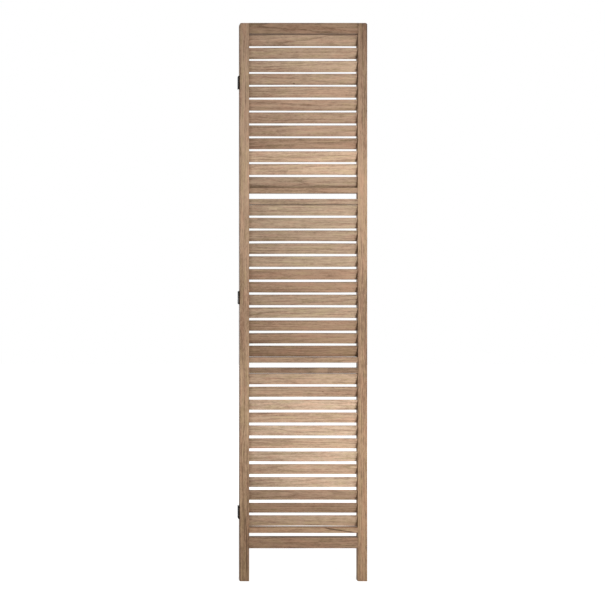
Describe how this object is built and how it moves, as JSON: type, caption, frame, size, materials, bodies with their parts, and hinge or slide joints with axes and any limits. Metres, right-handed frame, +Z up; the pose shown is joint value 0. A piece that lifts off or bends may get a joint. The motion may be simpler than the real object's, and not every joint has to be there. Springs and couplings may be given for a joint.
{
  "type": "room divider",
  "caption": "Tall wooden screen panel: stiles that run down as legs, cross rails, bays of thin slats that each turn on end pins, and small butt hinges on one edge for the next panel.",
  "frame": {"origin": "on the floor, under the middle of the panel's width and thickness", "axes": "+Z up along the stiles, +X along the slats to the right seen from the front, front faces -Y"},
  "size_m": [0.4049, 0.0233, 1.75],
  "materials": {
    "stile_wood": "matte",
    "rail_wood": "matte",
    "slat_wood": "matte",
    "hinge_steel": "satin",
    "screw_steel": "satin"
  },
  "bodies": {
    "frame": {"stile_left": "stile_wood", "stile_right": "stile_wood", "rail_top": "rail_wood", "rail_below_top_bay": "rail_wood", "rail_above_middle_bay": "rail_wood", "rail_below_middle_bay": "rail_wood", "rail_above_bottom_bay": "rail_wood", "rail_below_bottom_bay": "rail_wood", "rail_bottom": "rail_wood", "hinge_top_fixed_leaf": "hinge_steel", "hinge_top_pin": "hinge_steel", "hinge_top_screw_upper": "screw_steel", "hinge_top_screw_lower": "screw_steel", "hinge_middle_fixed_leaf": "hinge_steel", "hinge_middle_pin": "hinge_steel", "hinge_middle_screw_upper": "screw_steel", "hinge_middle_screw_lower": "screw_steel", "hinge_bottom_fixed_leaf": "hinge_steel", "hinge_bottom_pin": "hinge_steel", "hinge_bottom_screw_upper": "screw_steel", "hinge_bottom_screw_lower": "screw_steel"},
    "hinge_top_leaf": {"hinge_top_free_leaf": "hinge_steel"},
    "hinge_middle_leaf": {"hinge_middle_free_leaf": "hinge_steel"},
    "hinge_bottom_leaf": {"hinge_bottom_free_leaf": "hinge_steel"},
    "slat_top_01": {"slat_top_01": "slat_wood"},
    "slat_top_02": {"slat_top_02": "slat_wood"},
    "slat_top_03": {"slat_top_03": "slat_wood"},
    "slat_top_04": {"slat_top_04": "slat_wood"},
    "slat_top_05": {"slat_top_05": "slat_wood"},
    "slat_top_06": {"slat_top_06": "slat_wood"},
    "slat_top_07": {"slat_top_07": "slat_wood"},
    "slat_top_08": {"slat_top_08": "slat_wood"},
    "slat_top_09": {"slat_top_09": "slat_wood"},
    "slat_top_10": {"slat_top_10": "slat_wood"},
    "slat_top_11": {"slat_top_11": "slat_wood"},
    "slat_top_12": {"slat_top_12": "slat_wood"},
    "slat_middle_01": {"slat_middle_01": "slat_wood"},
    "slat_middle_02": {"slat_middle_02": "slat_wood"},
    "slat_middle_03": {"slat_middle_03": "slat_wood"},
    "slat_middle_04": {"slat_middle_04": "slat_wood"},
    "slat_middle_05": {"slat_middle_05": "slat_wood"},
    "slat_middle_06": {"slat_middle_06": "slat_wood"},
    "slat_middle_07": {"slat_middle_07": "slat_wood"},
    "slat_middle_08": {"slat_middle_08": "slat_wood"},
    "slat_middle_09": {"slat_middle_09": "slat_wood"},
    "slat_middle_10": {"slat_middle_10": "slat_wood"},
    "slat_middle_11": {"slat_middle_11": "slat_wood"},
    "slat_middle_12": {"slat_middle_12": "slat_wood"},
    "slat_bottom_01": {"slat_bottom_01": "slat_wood"},
    "slat_bottom_02": {"slat_bottom_02": "slat_wood"},
    "slat_bottom_03": {"slat_bottom_03": "slat_wood"},
    "slat_bottom_04": {"slat_bottom_04": "slat_wood"},
    "slat_bottom_05": {"slat_bottom_05": "slat_wood"},
    "slat_bottom_06": {"slat_bottom_06": "slat_wood"},
    "slat_bottom_07": {"slat_bottom_07": "slat_wood"},
    "slat_bottom_08": {"slat_bottom_08": "slat_wood"},
    "slat_bottom_09": {"slat_bottom_09": "slat_wood"},
    "slat_bottom_10": {"slat_bottom_10": "slat_wood"},
    "slat_bottom_11": {"slat_bottom_11": "slat_wood"},
    "slat_bottom_12": {"slat_bottom_12": "slat_wood"}
  },
  "joints": [
    {"name": "hinge_top", "type": "hinge", "parent": "frame", "child": "hinge_top_leaf", "pos_m": [-0.2026, -0.011, 1.563], "axis": [0, 0, 1], "range_deg": [0, 180]},
    {"name": "hinge_middle", "type": "hinge", "parent": "frame", "child": "hinge_middle_leaf", "pos_m": [-0.2026, -0.011, 0.889], "axis": [0, 0, 1], "range_deg": [0, 180]},
    {"name": "hinge_bottom", "type": "hinge", "parent": "frame", "child": "hinge_bottom_leaf", "pos_m": [-0.2026, -0.011, 0.217], "axis": [0, 0, 1], "range_deg": [0, 180]},
    {"name": "slat_top_01_turn", "type": "hinge", "parent": "frame", "child": "slat_top_01", "pos_m": [0, 0, 1.69675], "axis": [1, 0, 0], "continuous": true},
    {"name": "slat_top_02_turn", "type": "hinge", "parent": "frame", "child": "slat_top_02", "pos_m": [0, 0, 1.65625], "axis": [1, 0, 0], "continuous": true},
    {"name": "slat_top_03_turn", "type": "hinge", "parent": "frame", "child": "slat_top_03", "pos_m": [0, 0, 1.61575], "axis": [1, 0, 0], "continuous": true},
    {"name": "slat_top_04_turn", "type": "hinge", "parent": "frame", "child": "slat_top_04", "pos_m": [0, 0, 1.57525], "axis": [1, 0, 0], "continuous": true},
    {"name": "slat_top_05_turn", "type": "hinge", "parent": "frame", "child": "slat_top_05", "pos_m": [0, 0, 1.53475], "axis": [1, 0, 0], "continuous": true},
    {"name": "slat_top_06_turn", "type": "hinge", "parent": "frame", "child": "slat_top_06", "pos_m": [0, 0, 1.49425], "axis": [1, 0, 0], "continuous": true},
    {"name": "slat_top_07_turn", "type": "hinge", "parent": "frame", "child": "slat_top_07", "pos_m": [0, 0, 1.45375], "axis": [1, 0, 0], "continuous": true},
    {"name": "slat_top_08_turn", "type": "hinge", "parent": "frame", "child": "slat_top_08", "pos_m": [0, 0, 1.41325], "axis": [1, 0, 0], "continuous": true},
    {"name": "slat_top_09_turn", "type": "hinge", "parent": "frame", "child": "slat_top_09", "pos_m": [0, 0, 1.37275], "axis": [1, 0, 0], "continuous": true},
    {"name": "slat_top_10_turn", "type": "hinge", "parent": "frame", "child": "slat_top_10", "pos_m": [0, 0, 1.33225], "axis": [1, 0, 0], "continuous": true},
    {"name": "slat_top_11_turn", "type": "hinge", "parent": "frame", "child": "slat_top_11", "pos_m": [0, 0, 1.29175], "axis": [1, 0, 0], "continuous": true},
    {"name": "slat_top_12_turn", "type": "hinge", "parent": "frame", "child": "slat_top_12", "pos_m": [0, 0, 1.25125], "axis": [1, 0, 0], "continuous": true},
    {"name": "slat_middle_01_turn", "type": "hinge", "parent": "frame", "child": "slat_middle_01", "pos_m": [0, 0, 1.1635], "axis": [1, 0, 0], "continuous": true},
    {"name": "slat_middle_02_turn", "type": "hinge", "parent": "frame", "child": "slat_middle_02", "pos_m": [0, 0, 1.12325], "axis": [1, 0, 0], "continuous": true},
    {"name": "slat_middle_03_turn", "type": "hinge", "parent": "frame", "child": "slat_middle_03", "pos_m": [0, 0, 1.083], "axis": [1, 0, 0], "continuous": true},
    {"name": "slat_middle_04_turn", "type": "hinge", "parent": "frame", "child": "slat_middle_04", "pos_m": [0, 0, 1.04275], "axis": [1, 0, 0], "continuous": true},
    {"name": "slat_middle_05_turn", "type": "hinge", "parent": "frame", "child": "slat_middle_05", "pos_m": [0, 0, 1.0025], "axis": [1, 0, 0], "continuous": true},
    {"name": "slat_middle_06_turn", "type": "hinge", "parent": "frame", "child": "slat_middle_06", "pos_m": [0, 0, 0.96225], "axis": [1, 0, 0], "continuous": true},
    {"name": "slat_middle_07_turn", "type": "hinge", "parent": "frame", "child": "slat_middle_07", "pos_m": [0, 0, 0.922], "axis": [1, 0, 0], "continuous": true},
    {"name": "slat_middle_08_turn", "type": "hinge", "parent": "frame", "child": "slat_middle_08", "pos_m": [0, 0, 0.88175], "axis": [1, 0, 0], "continuous": true},
    {"name": "slat_middle_09_turn", "type": "hinge", "parent": "frame", "child": "slat_middle_09", "pos_m": [0, 0, 0.8415], "axis": [1, 0, 0], "continuous": true},
    {"name": "slat_middle_10_turn", "type": "hinge", "parent": "frame", "child": "slat_middle_10", "pos_m": [0, 0, 0.80125], "axis": [1, 0, 0], "continuous": true},
    {"name": "slat_middle_11_turn", "type": "hinge", "parent": "frame", "child": "slat_middle_11", "pos_m": [0, 0, 0.761], "axis": [1, 0, 0], "continuous": true},
    {"name": "slat_middle_12_turn", "type": "hinge", "parent": "frame", "child": "slat_middle_12", "pos_m": [0, 0, 0.72075], "axis": [1, 0, 0], "continuous": true},
    {"name": "slat_bottom_01_turn", "type": "hinge", "parent": "frame", "child": "slat_bottom_01", "pos_m": [0, 0, 0.6335], "axis": [1, 0, 0], "continuous": true},
    {"name": "slat_bottom_02_turn", "type": "hinge", "parent": "frame", "child": "slat_bottom_02", "pos_m": [0, 0, 0.593], "axis": [1, 0, 0], "continuous": true},
    {"name": "slat_bottom_03_turn", "type": "hinge", "parent": "frame", "child": "slat_bottom_03", "pos_m": [0, 0, 0.5525], "axis": [1, 0, 0], "continuous": true},
    {"name": "slat_bottom_04_turn", "type": "hinge", "parent": "frame", "child": "slat_bottom_04", "pos_m": [0, 0, 0.512], "axis": [1, 0, 0], "continuous": true},
    {"name": "slat_bottom_05_turn", "type": "hinge", "parent": "frame", "child": "slat_bottom_05", "pos_m": [0, 0, 0.4715], "axis": [1, 0, 0], "continuous": true},
    {"name": "slat_bottom_06_turn", "type": "hinge", "parent": "frame", "child": "slat_bottom_06", "pos_m": [0, 0, 0.431], "axis": [1, 0, 0], "continuous": true},
    {"name": "slat_bottom_07_turn", "type": "hinge", "parent": "frame", "child": "slat_bottom_07", "pos_m": [0, 0, 0.3905], "axis": [1, 0, 0], "continuous": true},
    {"name": "slat_bottom_08_turn", "type": "hinge", "parent": "frame", "child": "slat_bottom_08", "pos_m": [0, 0, 0.35], "axis": [1, 0, 0], "continuous": true},
    {"name": "slat_bottom_09_turn", "type": "hinge", "parent": "frame", "child": "slat_bottom_09", "pos_m": [0, 0, 0.3095], "axis": [1, 0, 0], "continuous": true},
    {"name": "slat_bottom_10_turn", "type": "hinge", "parent": "frame", "child": "slat_bottom_10", "pos_m": [0, 0, 0.269], "axis": [1, 0, 0], "continuous": true},
    {"name": "slat_bottom_11_turn", "type": "hinge", "parent": "frame", "child": "slat_bottom_11", "pos_m": [0, 0, 0.2285], "axis": [1, 0, 0], "continuous": true},
    {"name": "slat_bottom_12_turn", "type": "hinge", "parent": "frame", "child": "slat_bottom_12", "pos_m": [0, 0, 0.188], "axis": [1, 0, 0], "continuous": true}
  ]
}
